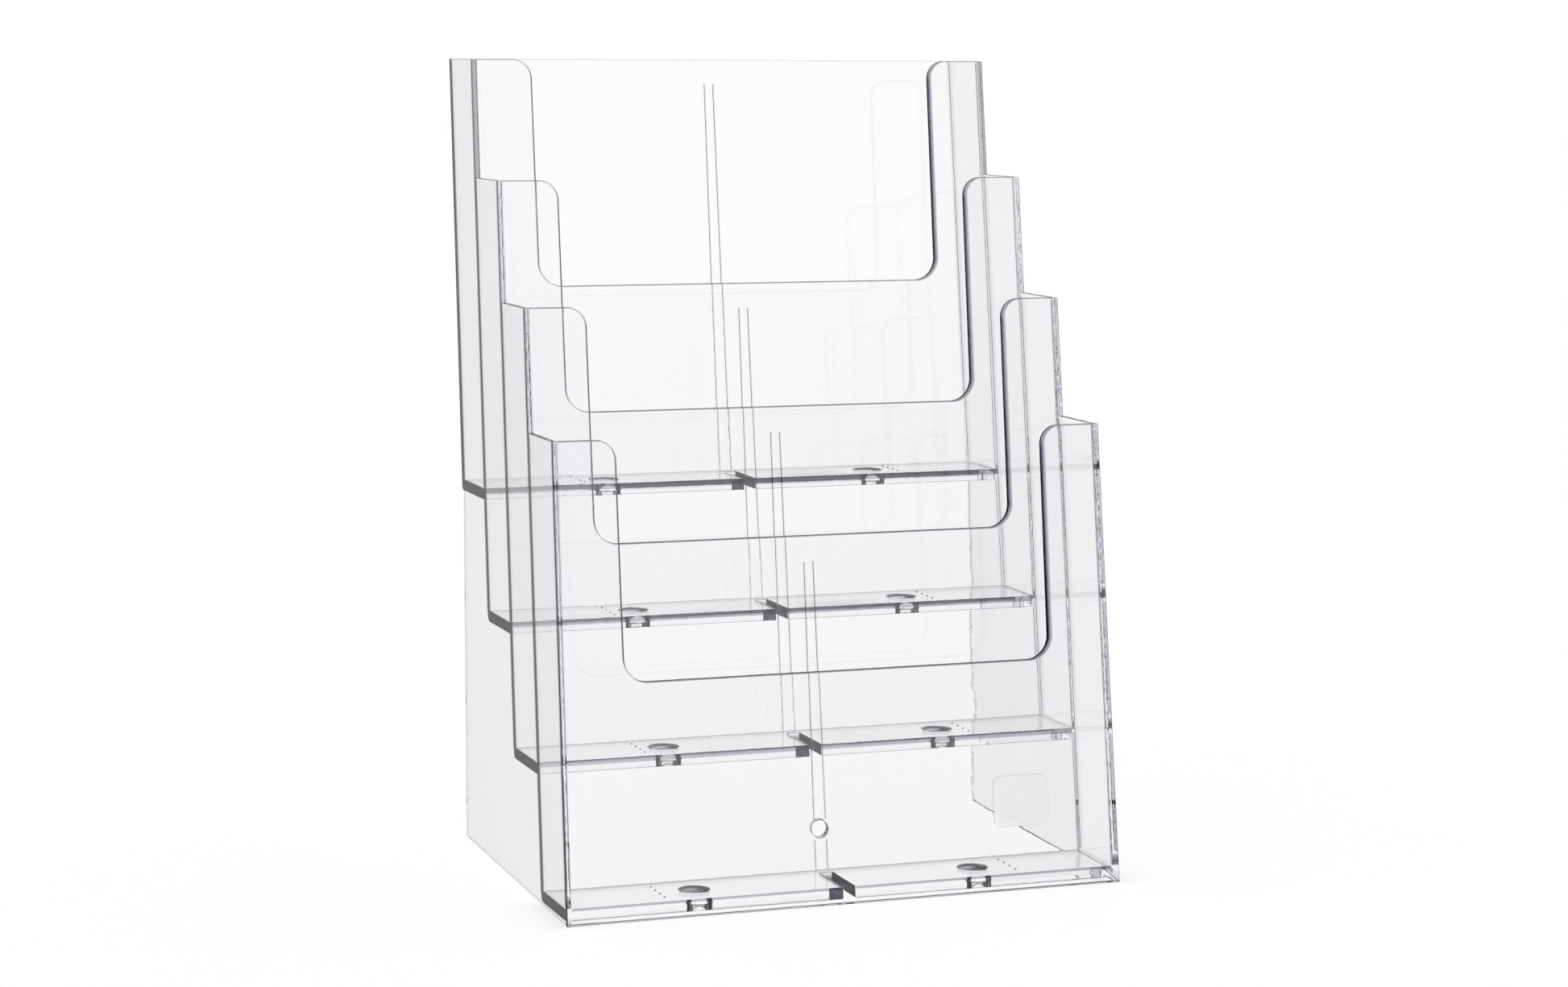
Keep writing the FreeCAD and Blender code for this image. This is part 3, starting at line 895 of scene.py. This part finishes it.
# ---------------------------------------------------------------- floor, light and camera
FLOOR_REACH = 4.0
FLOOR_SIDES = 96
FLOOR_GAP = 0.0003        # the table lies this far below the rack, so that no two faces share a place
angle = np.linspace(0, 2 * np.pi, FLOOR_SIDES, endpoint=False)
ring = np.stack([FLOOR_REACH * np.cos(angle), FLOOR_REACH * np.sin(angle),
                 np.full(FLOOR_SIDES, -FLOOR_GAP)], 1)
table = bpy.data.meshes.new("table_top")
table.from_pydata(ring.tolist(), [], [list(range(FLOOR_SIDES))])
table.materials.append(table_paint())
table_top = bpy.data.objects.new("table_top", table)
bpy.context.scene.collection.objects.link(table_top)
table_top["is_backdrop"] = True

scene = bpy.context.scene
scene.world = bpy.data.worlds.new("white studio")
scene.world.use_nodes = True
studio = scene.world.node_tree.nodes["Background"]
studio.inputs["Color"].default_value = (1, 1, 1, 1)
studio.inputs["Strength"].default_value = 1.0
scene.view_settings.view_transform = "Standard"
scene.cycles.max_bounces = 48
scene.cycles.transmission_bounces = 48
scene.cycles.glossy_bounces = 24
scene.cycles.transparent_max_bounces = 64

CAMERA_AT = (-0.489916, -1.356046, 0.363261)
YAW, PITCH_DOWN, ROLL = (math.radians(v) for v in (20.013, 8.338, 0.749))
LENS, SENSOR = 80.017, 36.0
ahead = np.array([math.sin(YAW) * math.cos(PITCH_DOWN), math.cos(YAW) * math.cos(PITCH_DOWN),
                  -math.sin(PITCH_DOWN)])
across = np.array([math.cos(YAW), -math.sin(YAW), 0.0])
over = np.cross(across, ahead)
right = math.cos(ROLL) * across + math.sin(ROLL) * over
up = -math.sin(ROLL) * across + math.cos(ROLL) * over
lens = bpy.data.cameras.new("camera")
lens.lens, lens.sensor_width, lens.sensor_fit = LENS, SENSOR, "HORIZONTAL"
lens.clip_start, lens.clip_end = 0.01, 50.0
camera = bpy.data.objects.new("camera", lens)
pose = np.vstack([np.column_stack([right, up, -ahead, CAMERA_AT]), [0, 0, 0, 1]])
camera.matrix_world = Matrix(pose.tolist())
scene.collection.objects.link(camera)
scene.camera = camera

sizes = {"cad": cad_box, "looks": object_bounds()}
plain = {name: [list(map(float, corner)) for corner in box] for name, box in sizes.items()}
